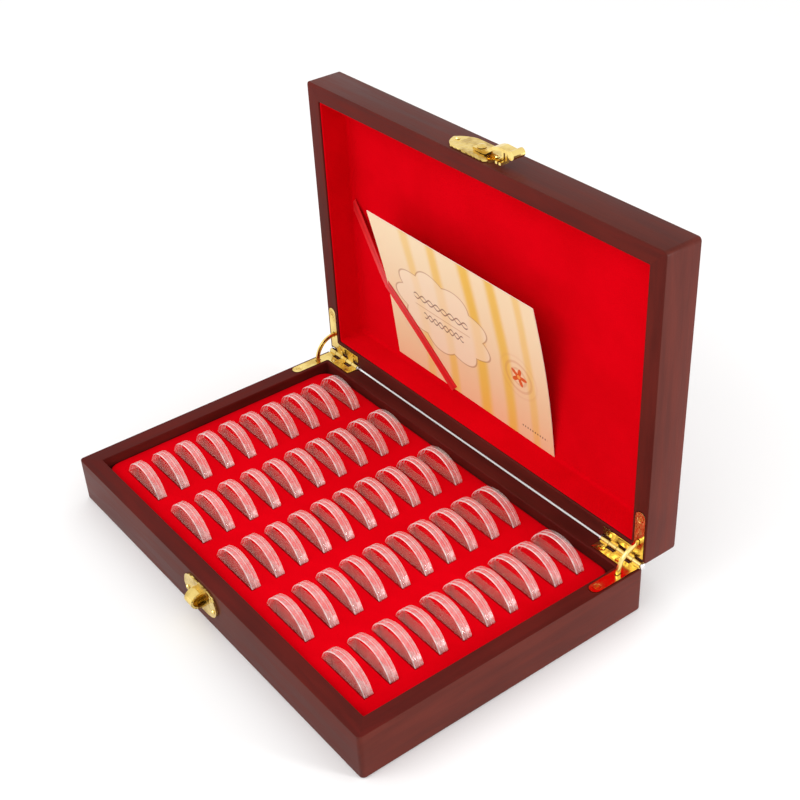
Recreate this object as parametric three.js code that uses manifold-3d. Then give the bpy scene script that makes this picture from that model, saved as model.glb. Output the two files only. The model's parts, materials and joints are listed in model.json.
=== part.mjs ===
// Hinged wooden coin case: a lidded display tray for round coin capsules that stand on edge.
// Millimetres, +Z up, +X to the right seen from the front, +Y from the front to the hinged back.
// The origin is the centre of the case's underside, and the lid stands open.
import * as THREE from 'three';
import { mergeVertices } from 'three/addons/utils/BufferGeometryUtils.js';
import Module from 'manifold-3d';

const wasm = await Module();
wasm.setup();

// ---------- driving dimensions ----------
const WIDTH = 335;
const DEPTH = 215;
const BASE_HEIGHT = 33;
const LID_HEIGHT = 27;
const WALL = 12;
const GAP = 0.3; // running gap between neighbouring pieces
const RIM_GAP = 1.2; // between the rims when the lid is shut
const OPEN_ANGLE = 90; // degrees
const EDGE_ROUND = 1.2; // chamfer on the long outer edges
const MITRE_GAP = 0.2;

const PANEL = 3.7; // bottom panel and lid top panel
const REBATE = 6; // how far the panels reach under the rails

const TRAY_TOP = 26.5;
const CAPSULE_RADIUS = 23;
const CAPSULE_THICKNESS = 6.5;
const CAPSULE_RISE = 15; // top of a capsule above the tray's top
const CAPSULE_FOOT = 5.5; // underside of a capsule, inside its slot
const COLUMNS = 5;
const COLUMN_PITCH = 59.3;
const ROWS = 10;
const ROW_PITCH = 18;
const CAPSULE_SEGMENTS = 12;
const RIB_WIDTH = 3;
const RIB_HEIGHT = 2.4;

const LINING = 1;

const CARD_WIDTH = 168;
const CARD_HEIGHT = 126;
const CARD_THICKNESS = 0.8;
const CARD_CENTRE_X = -21.5;
const CARD_LEAN = 10.7; // degrees away from the lid's lining
const CARD_TILT = 1.5; // degrees, in its own plane
const CARD_FOOT_Y = -16.5; // lower edge, from the hinge axis
const CARD_FOOT_GAP = 0.7; // back of the card to the lining at its lower edge
const RIBBON_WIDTH = 10;
const RIBBON_THICKNESS = 0.6;
const RIBBON_WALL = [-153.4, -108]; // end at the lid's left wall, x and distance up the card
const RIBBON_FOOT = [-42, -0.5]; // end at the foot of the card

const LEAF = 1.5; // hinge leaf thickness
const LEAF_PROUD = 0.3;
const LEG_WIDTH = 8;
const SIDE_LEG = 39; // from the hinge axis to the end of the leg on the side rail
const REAR_LEG_IN = 131.5; // inner end of the leg on the back rail
const REAR_LEG_OUT = 165.5;
const REAR_LEG_REACH = 9.8; // from the hinge axis towards the front
const BARREL_RADIUS = 2.2;
const KNUCKLES = 5;
const KNUCKLE_GAP = 0.4;
const PIN_RADIUS = 1.1;
const STAY_RADIUS = 16.2;
const STAY_WIDTH = 3;
const STAY_THICKNESS = 1.6;
const STAY_STOP_WIDTH = 3.4;
const SCREW_HEAD = 2.2;
const SCREW_SHANK = 1.2;
const SCREW_LENGTH = 8;

const CLASP_X = 6; // pivot of the clasp lever
const CLASP_UP = 10; // pivot above the lid's rim, measured up the shut lid
const CLASP_PLATE = 1.5;
const LEVER_GRIP = 31.2; // centre of the finger grip, from the pivot
const CATCH_X = -1;
const LEVER_WIDTH = 7;
const HOOD_X = [-7, 1.5];
const CATCH_HEIGHT = 19.2; // centre of the catch's hood above the underside
const CATCH_HALF = 19.5; // half the catch plate's width
const CATCH_LOW = 10.5;
const CATCH_HIGH = 30.8;
const PLATE_LEFT = -22; // ends of the lid's clasp plate
const PLATE_RIGHT = 24;
const PLATE_LOW = 1.5; // heights of the clasp plate above the lid's rim
const PLATE_TIP = 11;
const PLATE_HIGH = 19.5;
const STRAP = 1.8; // thickness of the lever's strap and width of its prongs
const STRAP_START = -4.5;
const STRAP_END = 30;
const STRAP_RISE = 7; // height of the arched strap over its flat end
const GRIP_RADIUS = 2.8;
const GRIP_HALF = 4.5;
const GRIP_OUT = 7.4; // grip's centre, out from the strap's seat
const PRONGS = [22, 25.2]; // where the prongs start, from the pivot
const PRONG_REACH = 8.5; // from the pivot towards the rim
const PRONG_FLOOR = 1.2; // how far the prongs stay off the lever's seat

// ---------- derived positions ----------
const HALF_WIDTH = WIDTH / 2;
const HALF_DEPTH = DEPTH / 2;
const INNER_X = HALF_WIDTH - WALL;
const INNER_Y = HALF_DEPTH - WALL;
const HINGE_Y = HALF_DEPTH;
const HINGE_Z = BASE_HEIGHT + RIM_GAP / 2;
const LID_RIM = RIM_GAP / 2; // rim of the shut lid above the hinge axis
const LID_TOP = LID_RIM + LID_HEIGHT;
const BASE_RIM = -RIM_GAP / 2; // rim of the base below the hinge axis
const LEG_MIDDLE = REAR_LEG_OUT - LEG_WIDTH / 2;
const CAPSULE_Z = TRAY_TOP + CAPSULE_RISE - CAPSULE_RADIUS; // centre of a capsule's arc
const CAPSULE_HALF = Math.sqrt(CAPSULE_RADIUS ** 2 - (CAPSULE_RADIUS - CAPSULE_RISE) ** 2);
const QUARTER = Math.PI / 2;
const radians = THREE.MathUtils.degToRad;

// ---------- materials ----------
const finish = (color, roughness, metalness = 0) =>
  new THREE.MeshStandardMaterial({ color, roughness, metalness });
const mahogany = finish(0x6b2a24, 0.35);
const darkWood = finish(0x3a1512, 0.6);
const flock = finish(0xd00014, 0.95);
const clearPlastic = finish(0xf2e4e4, 0.1);
const brass = finish(0xd6a840, 0.25, 1);
const steel = finish(0xd8d8d8, 0.3, 1);
const paper = finish(0xf0dcb8, 0.8);
const satin = finish(0xd8101c, 0.4);

// ---------- solids ----------
function welded(geometry) {
  const bare = geometry.clone();
  bare.deleteAttribute('normal');
  bare.deleteAttribute('uv');
  return mergeVertices(bare, 1e-4);
}

function toSolid(geometry) {
  const { attributes, index } = welded(geometry);
  const mesh = new wasm.Mesh({
    numProp: 3,
    vertProperties: Float32Array.from(attributes.position.array),
    triVerts: Uint32Array.from(index.array),
  });
  return new wasm.Manifold(mesh);
}

function toGeometry(solid) {
  const { vertProperties, triVerts } = solid.getMesh();
  const geometry = new THREE.BufferGeometry();
  geometry.setAttribute('position', new THREE.BufferAttribute(vertProperties, 3));
  geometry.setIndex(new THREE.BufferAttribute(triVerts, 1));
  geometry.computeVertexNormals();
  return geometry;
}

function cut(geometry, tools) {
  return toGeometry(tools.reduce((solid, tool) => solid.subtract(toSolid(tool)), toSolid(geometry)));
}

function join(geometries) {
  const [first, ...rest] = geometries.map(toSolid);
  return toGeometry(rest.reduce((solid, other) => solid.add(other), first));
}

// A copy reflected along one axis, with its faces still pointing out.
function reflected(geometry, axis) {
  const copy = welded(geometry);
  copy.scale(axis === 'x' ? -1 : 1, 1, axis === 'z' ? -1 : 1);
  const index = copy.index.array;
  for (let i = 0; i < index.length; i += 3) {
    [index[i], index[i + 1]] = [index[i + 1], index[i]];
  }
  copy.computeVertexNormals();
  return copy;
}

const moved = (geometry, x, y, z) => geometry.clone().translate(x, y, z);

// An axis-aligned block between two corners.
function block([x0, y0, z0], [x1, y1, z1]) {
  const geometry = new THREE.BoxGeometry(x1 - x0, y1 - y0, z1 - z0);
  return geometry.translate((x0 + x1) / 2, (y0 + y1) / 2, (z0 + z1) / 2);
}

// A straight rod between two stations on an axis. The second radius is that of the high end.
function rod(axis, radius, from, to, sides, highRadius = radius) {
  const geometry = new THREE.CylinderGeometry(highRadius, radius, to - from, sides);
  const middle = (from + to) / 2;
  if (axis === 'x') {
    return geometry.rotateZ(-QUARTER).translate(middle, 0, 0);
  }
  if (axis === 'z') {
    return geometry.rotateX(QUARTER).translate(0, 0, middle);
  }
  return geometry.translate(0, middle, 0);
}

const extrude = (shape, depth, curveSegments = 8) =>
  new THREE.ExtrudeGeometry(shape, { depth, bevelEnabled: false, curveSegments });

const shapeOf = (points) => new THREE.Shape(points.map(([x, y]) => new THREE.Vector2(x, y)));

// Turns a drawing so that its x, y and thickness run along the three given directions.
function oriented(geometry, along, up, out) {
  const basis = new THREE.Matrix4().makeBasis(
    new THREE.Vector3(...along),
    new THREE.Vector3(...up),
    new THREE.Vector3(...out),
  );
  return geometry.applyMatrix4(basis);
}

// A turned piece about Z from [radius, height] pairs, lowest first.
function turned(profile, sides) {
  const points = profile.map(([radius, height]) => new THREE.Vector2(radius, height));
  return new THREE.LatheGeometry(points, sides).rotateX(QUARTER);
}

// ---------- scene graph ----------
const coinCase = new THREE.Group();
const base = new THREE.Group();
const lid = new THREE.Group();
lid.position.set(0, HINGE_Y, HINGE_Z);
lid.rotation.x = -radians(OPEN_ANGLE);
coinCase.add(base, lid);

function addMesh(parent, name, geometry, material) {
  const mesh = new THREE.Mesh(geometry, material);
  mesh.name = name;
  parent.add(mesh);
  return mesh;
}

// ---------- rails ----------
// profile: [distance in from the outer face, height]. Both ends are mitred at 45 degrees.
// The bar runs along X with its outer face on y = 0 and its inside towards +Y.
function mitredBar(profile, length) {
  const bar = extrude(shapeOf(profile), length);
  const { position } = bar.attributes;
  for (let i = 0; i < position.count; i += 1) {
    const inward = position.getX(i);
    const height = position.getY(i);
    const atStart = position.getZ(i) < length / 2;
    const along = atStart ? inward + MITRE_GAP : length - inward - MITRE_GAP;
    position.setXYZ(i, along - length / 2, inward, height);
  }
  return bar;
}

// A rail between its rim and its flat side, where the panel sits in a rebate.
function railProfile(rim, flat) {
  const up = Math.sign(rim - flat);
  const lip = flat + up * (PANEL + GAP);
  return [
    [EDGE_ROUND, flat],
    [REBATE, flat],
    [REBATE, lip],
    [WALL, lip],
    [WALL, rim],
    [EDGE_ROUND / 2, rim],
    [0, rim - up * (EDGE_ROUND / 2)],
    [0, flat + up * EDGE_ROUND],
  ];
}

// Four rails about the case's centre line, their front and back faces half a depth from it.
function fourRails(profile) {
  const places = {
    front: [WIDTH, 0, 0, -HALF_DEPTH],
    back: [WIDTH, 2 * QUARTER, 0, HALF_DEPTH],
    left: [DEPTH, -QUARTER, -HALF_WIDTH, 0],
    right: [DEPTH, QUARTER, HALF_WIDTH, 0],
  };
  const made = {};
  for (const [side, [length, turn, x, y]] of Object.entries(places)) {
    made[side] = mitredBar(profile, length).rotateZ(turn).translate(x, y, 0);
  }
  return made;
}

// ---------- hinges ----------
// Hinge pieces are drawn about the hinge axis (y = 0, z = 0), on the right of the case and for
// the base. The lid's leaf is the same shape reflected in the plane between the rims.
const KNUCKLE_LENGTH = (REAR_LEG_OUT - REAR_LEG_IN - KNUCKLE_GAP * (KNUCKLES - 1)) / KNUCKLES;
const LEAF_TOP = BASE_RIM + LEAF_PROUD;
const LEAF_BOTTOM = LEAF_TOP - LEAF;
const LEAF_EDGE = -BARREL_RADIUS - 0.6; // where the flat of the leaf stops before the barrel
const STAY_IN = STAY_RADIUS - STAY_WIDTH / 2;
const STAY_OUT = STAY_RADIUS + STAY_WIDTH / 2;
const SCREW_SPOTS = [
  [LEG_MIDDLE, -33.5],
  [152, -6.4],
  [137, -6.4],
];

function leafOutline(grow) {
  const inside = REAR_LEG_OUT - LEG_WIDTH - grow;
  const outside = REAR_LEG_OUT + grow;
  const end = -SIDE_LEG - grow;
  const corner = 2;
  return shapeOf([
    [outside, LEAF_EDGE + grow],
    [REAR_LEG_IN - grow, LEAF_EDGE + grow],
    [REAR_LEG_IN - grow, -REAR_LEG_REACH - grow],
    [inside, -REAR_LEG_REACH - grow],
    [inside, end + corner],
    [inside + corner, end],
    [outside - corner, end],
    [outside, end + corner],
  ]);
}

const staySlot = (halfWidth, front, back, bottom) =>
  block([LEG_MIDDLE - halfWidth, front, bottom], [LEG_MIDDLE + halfWidth, back, 1]);

// carried: which knuckles of the barrel belong to this leaf, counted from the inner end.
function hingeLeaf(carried) {
  const pieces = [extrude(leafOutline(0), LEAF).translate(0, 0, LEAF_BOTTOM)];
  for (const k of carried) {
    const start = REAR_LEG_IN + k * (KNUCKLE_LENGTH + KNUCKLE_GAP);
    const end = start + KNUCKLE_LENGTH;
    pieces.push(rod('x', BARREL_RADIUS, start, end, 14));
    pieces.push(block([start, LEAF_EDGE - 0.2, LEAF_BOTTOM], [end, -0.4, LEAF_TOP]));
  }
  const countersink = rod('z', SCREW_SHANK + 0.4, LEAF_BOTTOM - 0.1, LEAF_TOP + 0.1, 12, SCREW_HEAD + 0.4);
  const slotFront = -STAY_OUT - 0.5;
  const slotBack = -STAY_IN + 0.7;
  return cut(join(pieces), [
    ...SCREW_SPOTS.map(([x, y]) => moved(countersink, x, y, 0)),
    staySlot(STAY_THICKNESS / 2 + GAP, slotFront, slotBack, LEAF_BOTTOM - 1),
    rod('x', PIN_RADIUS + GAP, REAR_LEG_IN - 1, REAR_LEG_OUT + 1, 12),
  ]);
}

function hingeScrew() {
  const tip = LEAF_TOP - SCREW_LENGTH;
  const profile = [
    [0, tip],
    [SCREW_SHANK * 0.4, tip],
    [SCREW_SHANK, tip + 1.5],
    [SCREW_SHANK, LEAF_BOTTOM - 0.1],
    [SCREW_HEAD, LEAF_TOP - 0.1],
    [SCREW_HEAD * 0.55, LEAF_TOP + 0.15],
    [0, LEAF_TOP + 0.2],
  ];
  return turned(profile, 10);
}

function hingePin() {
  const headLength = 1;
  const headGap = 0.4;
  const heads = [REAR_LEG_IN - headGap - headLength, REAR_LEG_OUT + headGap];
  return join([
    rod('x', PIN_RADIUS, REAR_LEG_IN - 1, REAR_LEG_OUT + 1, 12),
    ...heads.map((x) => rod('x', BARREL_RADIUS - GAP, x, x + headLength, 12)),
  ]);
}

// A slice of a ring about the hinge axis. Angles are in degrees up from the base's rim.
function ringSlice(inner, outer, from, to, thickness, steps) {
  const shape = new THREE.Shape();
  shape.absarc(0, 0, outer, radians(from), radians(to), false);
  shape.absarc(0, 0, inner, radians(to), radians(from), true);
  const slice = oriented(extrude(shape, thickness, steps), [0, -1, 0], [0, 0, 1], [-1, 0, 0]);
  return slice.translate(LEG_MIDDLE + thickness / 2, 0, 0);
}

// The stay is an arc through both leaves, with a stop under each of them when the lid is open.
function hingeStay() {
  const stopNear = 7.8;
  const stopFar = 13.5;
  const swell = 0.4;
  const stop = (from, to) =>
    ringSlice(STAY_IN - swell, STAY_OUT + swell, from, to, STAY_STOP_WIDTH, 2);
  return join([
    ringSlice(STAY_IN, STAY_OUT, 1 - stopFar, OPEN_ANGLE + stopFar - 1, STAY_THICKNESS, 14),
    stop(-stopFar, -stopNear),
    stop(OPEN_ANGLE + stopNear, OPEN_ANGLE + stopFar),
  ]);
}

// What a hinge needs cut out of the wood of the base.
function hingeSeat() {
  const bottom = LEAF_BOTTOM - GAP;
  const pilot = rod('z', SCREW_SHANK + GAP, LEAF_TOP - SCREW_LENGTH - GAP, 0, 10);
  const reachBack = 6.4; // rear end of the stay's slot, in front of the hinge axis
  const slotDepth = 17;
  return [
    extrude(leafOutline(GAP), 4).translate(0, 0, bottom),
    block([REAR_LEG_IN - GAP, LEAF_EDGE - 1, bottom], [REAR_LEG_OUT + GAP, 1, 1]),
    rod('x', BARREL_RADIUS + 0.4, REAR_LEG_IN - 2, HALF_WIDTH + 1, 14),
    staySlot(STAY_STOP_WIDTH / 2 + 0.4, -STAY_OUT - 1.2, -reachBack, -slotDepth),
    ...SCREW_SPOTS.map(([x, y]) => moved(pilot, x, y, 0)),
  ];
}

// ---------- clasp ----------
// Clasp pieces lie on the front faces. `face` is the wooden front and -Y points out of it.
const CLASP_Z = LID_RIM + CLASP_UP;
const PLATE_OUT = GAP + CLASP_PLATE; // outer side of a clasp plate, measured from the wood
const LEVER_SEAT = PLATE_OUT + GAP;
const NAIL_SHANK = 0.7;
const RIVET_SHANK = 1.5;
const LID_NAILS = [[-17.5, CLASP_Z + 0.5], [19.5, CLASP_Z + 0.5]];
const CATCH_NAILS = [[CATCH_X - 15.5, 18], [CATCH_X + 15.5, 18]];

// Draws an outline given in x and z as a plate that stands GAP off the face.
function platePart(shape, face) {
  const plate = oriented(extrude(shape, CLASP_PLATE, 4), [1, 0, 0], [0, 0, 1], [0, -1, 0]);
  return plate.translate(0, face - GAP, 0);
}

// A hole bored into the front at x, z.
const frontHole = (radius, x, z, face, depth) =>
  rod('y', radius, face - PLATE_OUT - 1, face + depth, 10).translate(x, 0, z);

// A fastener driven in from the front: heights in the profile are measured out of the wood.
const driven = (profile, x, z, face, sides) =>
  turned(profile, sides).rotateX(QUARTER).translate(x, face, z);

function nail(x, z, face) {
  const profile = [
    [0, -6],
    [NAIL_SHANK, -5],
    [NAIL_SHANK, PLATE_OUT + 0.1],
    [1.7, PLATE_OUT + 0.2],
    [1.2, PLATE_OUT + 0.9],
    [0, PLATE_OUT + 1.1],
  ];
  return driven(profile, x, z, face, 10);
}

function lidClaspPlate(face) {
  const low = LID_RIM + PLATE_LOW;
  const tip = LID_RIM + PLATE_TIP;
  const high = LID_RIM + PLATE_HIGH;
  const shape = new THREE.Shape();
  shape.moveTo(PLATE_LEFT + 8, low);
  shape.lineTo(PLATE_RIGHT - 8, low);
  shape.quadraticCurveTo(PLATE_RIGHT - 2, low + 2.5, PLATE_RIGHT, tip);
  shape.quadraticCurveTo(PLATE_RIGHT - 5, high - 2, PLATE_RIGHT - 13, high);
  shape.lineTo(PLATE_LEFT + 13, high);
  shape.quadraticCurveTo(PLATE_LEFT + 5, high - 2, PLATE_LEFT, tip);
  shape.quadraticCurveTo(PLATE_LEFT + 2, low + 2.5, PLATE_LEFT + 8, low);
  const holes = LID_NAILS.map(([x, z]) => frontHole(NAIL_SHANK + GAP, x, z, face, 0));
  holes.push(frontHole(RIVET_SHANK + GAP, CLASP_X, CLASP_Z, face, 0));
  return cut(platePart(shape, face), holes);
}

// Lever drawn about its pivot: x runs along it, -y stands off the lid, -z points to the rim.
function claspLever() {
  const arm = new THREE.Shape();
  arm.moveTo(STRAP_START, 0);
  arm.lineTo(5, 0);
  arm.bezierCurveTo(9, 0, 12, STRAP_RISE - 1.4, 20, STRAP_RISE);
  arm.lineTo(STRAP_END, STRAP_RISE - 0.4);
  arm.lineTo(STRAP_END, STRAP_RISE + 1.6);
  arm.lineTo(20, STRAP_RISE + 2);
  arm.bezierCurveTo(11, STRAP_RISE + 1, 8, STRAP, 4.2, STRAP);
  arm.lineTo(STRAP_START, STRAP);
  const strap = oriented(extrude(arm, LEVER_WIDTH, 7), [1, 0, 0], [0, -1, 0], [0, 0, -1]);
  const pieces = [strap.translate(0, 0, LEVER_WIDTH / 2)];
  pieces.push(rod('z', GRIP_RADIUS, -GRIP_HALF, GRIP_HALF, 14).translate(LEVER_GRIP, -GRIP_OUT, 0));
  const prongTop = -1.9;
  for (const start of PRONGS) {
    const end = start + STRAP;
    pieces.push(block([start, -STRAP_RISE - 1, -LEVER_WIDTH / 2], [end, -PRONG_FLOOR, prongTop]));
    pieces.push(block([start, -PRONG_FLOOR - 1.6, -PRONG_REACH], [end, -PRONG_FLOOR, prongTop]));
  }
  const pivotHole = rod('y', RIVET_SHANK + GAP, -3, 1, 12);
  return cut(join(pieces), [pivotHole]);
}

function rivet(face) {
  const headSeat = LEVER_SEAT + STRAP + GAP;
  const profile = [
    [0, -6],
    [RIVET_SHANK, -5.5],
    [RIVET_SHANK, headSeat],
    [3, headSeat + 0.05],
    [2.6, headSeat + 1],
    [0, headSeat + 1.6],
  ];
  return driven(profile, CLASP_X, CLASP_Z, face, 14);
}

// Catch: a plate with a hood that is open towards +X, where the lever's prongs slide in.
function catchPlate(face) {
  const [hoodStart, hoodEnd] = HOOD_X;
  const shell = 1.4;
  const high = 8;
  const half = 6;
  const halfEllipse = (halfHeight, reach, sunk) => {
    const shape = new THREE.Shape();
    shape.moveTo(halfHeight, -sunk);
    shape.absellipse(0, 0, halfHeight, reach, 0, Math.PI, false, 0);
    shape.lineTo(-halfHeight, -sunk);
    return shape;
  };
  const along = (shape, from, to) => {
    const solid = oriented(extrude(shape, to - from, 12), [0, 0, 1], [0, -1, 0], [1, 0, 0]);
    return solid.translate(from, face - PLATE_OUT, CATCH_HEIGHT);
  };
  const outline = new THREE.Shape();
  outline.moveTo(CATCH_X - 12, CATCH_HIGH);
  outline.quadraticCurveTo(CATCH_X - 19, 29, CATCH_X - CATCH_HALF, 20);
  outline.quadraticCurveTo(CATCH_X - 18, 12, CATCH_X - 8, CATCH_LOW);
  outline.lineTo(CATCH_X + 8, CATCH_LOW);
  outline.quadraticCurveTo(CATCH_X + 18, 12, CATCH_X + CATCH_HALF, 20);
  outline.quadraticCurveTo(CATCH_X + 19, 29, CATCH_X + 12, CATCH_HIGH);
  const hood = cut(along(halfEllipse(half, high, 0.5), hoodStart, hoodEnd), [
    along(halfEllipse(half - shell, high - shell, 0), hoodStart + shell, hoodEnd + 1),
  ]);
  const holes = CATCH_NAILS.map(([x, z]) => frontHole(NAIL_SHANK + GAP, x, z, face, 0));
  return cut(join([platePart(outline, face), hood]), holes);
}

// ---------- capsules and their tray ----------
const columnX = (column) => (column - (COLUMNS - 1) / 2) * COLUMN_PITCH;
const rowY = (row) => (row - (ROWS - 1) / 2) * ROW_PITCH;
const RIB_LOW = CAPSULE_FOOT + 1.6;

// A capsule is an arc above the tray on a straight-sided foot that fills its slot.
function capsuleBody() {
  const start = Math.asin((TRAY_TOP - CAPSULE_Z) / CAPSULE_RADIUS);
  const shape = new THREE.Shape();
  shape.moveTo(-CAPSULE_HALF, CAPSULE_FOOT);
  shape.lineTo(CAPSULE_HALF, CAPSULE_FOOT);
  shape.lineTo(CAPSULE_HALF, TRAY_TOP);
  shape.absarc(0, CAPSULE_Z, CAPSULE_RADIUS, start, Math.PI - start, false);
  const solid = extrude(shape, CAPSULE_THICKNESS, CAPSULE_SEGMENTS);
  return oriented(solid, [1, 0, 0], [0, 0, 1], [0, -1, 0]).translate(0, CAPSULE_THICKNESS / 2, 0);
}

function slotBody() {
  const half = CAPSULE_THICKNESS / 2 + GAP;
  const reach = CAPSULE_HALF + GAP;
  return block([-reach, -half, CAPSULE_FOOT - GAP], [reach, half, TRAY_TOP + 1]);
}

function ribAt(x, grow) {
  const half = RIB_WIDTH / 2 + grow;
  return block(
    [x - half, rowY(0), RIB_LOW - grow],
    [x + half, rowY(ROWS - 1), RIB_LOW + RIB_HEIGHT + grow],
  );
}

// The capsules of one column, joined at their feet by a rib inside the tray.
function capsuleColumn(column) {
  const x = columnX(column);
  const body = capsuleBody();
  const capsules = Array.from({ length: ROWS }, (_, row) => moved(body, x, rowY(row), 0));
  return join([...capsules, ribAt(x, 0)]);
}

function slottedTray() {
  const slot = slotBody();
  const tools = [];
  for (let column = 0; column < COLUMNS; column += 1) {
    const x = columnX(column);
    for (let row = 0; row < ROWS; row += 1) {
      tools.push(moved(slot, x, rowY(row), 0));
    }
    tools.push(ribAt(x, GAP));
  }
  const x = INNER_X - GAP;
  const y = INNER_Y - GAP;
  return cut(block([-x, -y, PANEL + GAP], [x, y, TRAY_TOP]), tools);
}

// ---------- base ----------
const seats = hingeSeat();
const seatsForBase = seats.map((tool) => moved(tool, 0, HINGE_Y, HINGE_Z));
const baseFace = -HALF_DEPTH;
const baseRails = fourRails(railProfile(BASE_HEIGHT, 0));
const baseCuts = {
  front: CATCH_NAILS.map(([x, z]) => frontHole(NAIL_SHANK + GAP, x, z, baseFace, 6.5)),
  back: [...seatsForBase, ...seatsForBase.map((tool) => reflected(tool, 'x'))],
  left: seatsForBase.map((tool) => reflected(tool, 'x')),
  right: seatsForBase,
};
for (const [side, rail] of Object.entries(baseRails)) {
  addMesh(base, `base_${side}_rail`, cut(rail, baseCuts[side]), mahogany);
}
const panelX = HALF_WIDTH - REBATE - GAP;
const panelY = HALF_DEPTH - REBATE - GAP;
addMesh(base, 'base_bottom_panel', block([-panelX, -panelY, 0], [panelX, panelY, PANEL]), darkWood);
addMesh(base, 'slotted_tray_insert', slottedTray(), flock);
for (let column = 0; column < COLUMNS; column += 1) {
  addMesh(base, `capsule_column_${column + 1}`, capsuleColumn(column), clearPlastic);
}
addMesh(base, 'catch_plate', catchPlate(baseFace), brass);
CATCH_NAILS.forEach(([x, z], i) => {
  addMesh(base, `catch_nail_${i + 1}`, nail(x, z, baseFace), brass);
});

// ---------- lid, drawn shut about the hinge axis ----------
const lidFace = -DEPTH;
const seatsForLid = seats.map((tool) => reflected(tool, 'z'));
const lidRails = fourRails(railProfile(LID_RIM, LID_TOP));
const lidCuts = {
  front: [
    ...LID_NAILS.map(([x, z]) => frontHole(NAIL_SHANK + GAP, x, z, lidFace, 6.5)),
    frontHole(RIVET_SHANK + GAP, CLASP_X, CLASP_Z, lidFace, 6.5),
  ],
  back: [...seatsForLid, ...seatsForLid.map((tool) => reflected(tool, 'x'))],
  left: seatsForLid.map((tool) => reflected(tool, 'x')),
  right: seatsForLid,
};
for (const [side, rail] of Object.entries(lidRails)) {
  const placed = rail.translate(0, -HALF_DEPTH, 0);
  addMesh(lid, `lid_${side}_rail`, cut(placed, lidCuts[side]), mahogany);
}
const topPanel = block([-panelX, -panelY, LID_TOP - PANEL], [panelX, panelY, LID_TOP]);
addMesh(lid, 'lid_top_panel', topPanel.translate(0, -HALF_DEPTH, 0), mahogany);

const liningX = INNER_X - GAP;
const liningY = INNER_Y - GAP;
const liningLow = LID_RIM + 0.8;
const liningHigh = LID_TOP - PANEL - GAP;
const lining = cut(block([-liningX, -liningY, liningLow], [liningX, liningY, liningHigh]), [
  block(
    [-liningX + LINING, -liningY + LINING, liningLow - 1],
    [liningX - LINING, liningY - LINING, liningHigh - LINING],
  ),
]);
addMesh(lid, 'lid_lining', lining.translate(0, -HALF_DEPTH, 0), flock);

// The card stands on its lower edge and leans away from the lining; the ribbon crosses its corner.
const card = new THREE.Group();
card.position.set(CARD_CENTRE_X, CARD_FOOT_Y, liningHigh - LINING - CARD_FOOT_GAP);
card.rotation.x = radians(CARD_LEAN);
lid.add(card);
const sheet = block([-CARD_WIDTH / 2, -CARD_HEIGHT, -CARD_THICKNESS], [CARD_WIDTH / 2, 0, 0]);
addMesh(card, 'certificate_card', sheet.rotateZ(radians(CARD_TILT)), paper);

function ribbon() {
  const [wallX, wallY] = RIBBON_WALL;
  const [footX, footY] = RIBBON_FOOT;
  const length = Math.hypot(footX - wallX, footY - wallY);
  const alongWall = (RIBBON_WIDTH / 2) * (length / (footX - wallX));
  const alongFoot = (RIBBON_WIDTH / 2) * (length / (footY - wallY));
  const shape = shapeOf([
    [wallX, wallY - alongWall],
    [wallX, wallY + alongWall],
    [footX - alongFoot, footY],
    [footX + alongFoot, footY],
  ]);
  const front = -CARD_THICKNESS - 0.4;
  return extrude(shape, RIBBON_THICKNESS).translate(-CARD_CENTRE_X, 0, front - RIBBON_THICKNESS);
}
addMesh(card, 'card_ribbon', ribbon(), satin);

addMesh(lid, 'lid_clasp_plate', lidClaspPlate(lidFace), brass);
LID_NAILS.forEach(([x, z], i) => {
  addMesh(lid, `lid_clasp_nail_${i + 1}`, nail(x, z, lidFace), brass);
});
addMesh(lid, 'clasp_rivet', rivet(lidFace), brass);
const lever = addMesh(lid, 'clasp_lever', claspLever(), brass);
lever.position.set(CLASP_X, lidFace - LEVER_SEAT, CLASP_Z);

// ---------- hinges on both sides ----------
const baseLeaf = hingeLeaf([0, 2, 4]);
const lidLeaf = reflected(hingeLeaf([1, 3]), 'z');
const screw = hingeScrew();
const pin = hingePin();
const stay = hingeStay();
for (const side of ['left', 'right']) {
  const placed = (geometry) => (side === 'left' ? reflected(geometry, 'x') : geometry.clone());
  const onBase = (geometry) => placed(geometry).translate(0, HINGE_Y, HINGE_Z);
  addMesh(base, `${side}_hinge_base_leaf`, onBase(baseLeaf), brass);
  addMesh(base, `${side}_hinge_pin`, onBase(pin), steel);
  addMesh(base, `${side}_hinge_stay`, onBase(stay), brass);
  addMesh(lid, `${side}_hinge_lid_leaf`, placed(lidLeaf), brass);
  SCREW_SPOTS.forEach(([x, y], i) => {
    const standing = moved(screw, x, y, 0);
    addMesh(base, `${side}_hinge_base_screw_${i + 1}`, onBase(standing), brass);
    addMesh(lid, `${side}_hinge_lid_screw_${i + 1}`, placed(reflected(standing, 'z')), brass);
  });
}

export default coinCase;
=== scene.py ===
"""Looks of the hinged wooden coin case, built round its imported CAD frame.

Pieces are drawn in millimetres about the hinge axis: x to the right, y back, z up, with the rims at z = -RIM.
The base stands on BASE; LID reflects the same drawing into the open lid, so that one drawing serves both halves.
"""

import json
import math

import bmesh
import bpy
from mathutils import Matrix, Vector, noise


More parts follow.
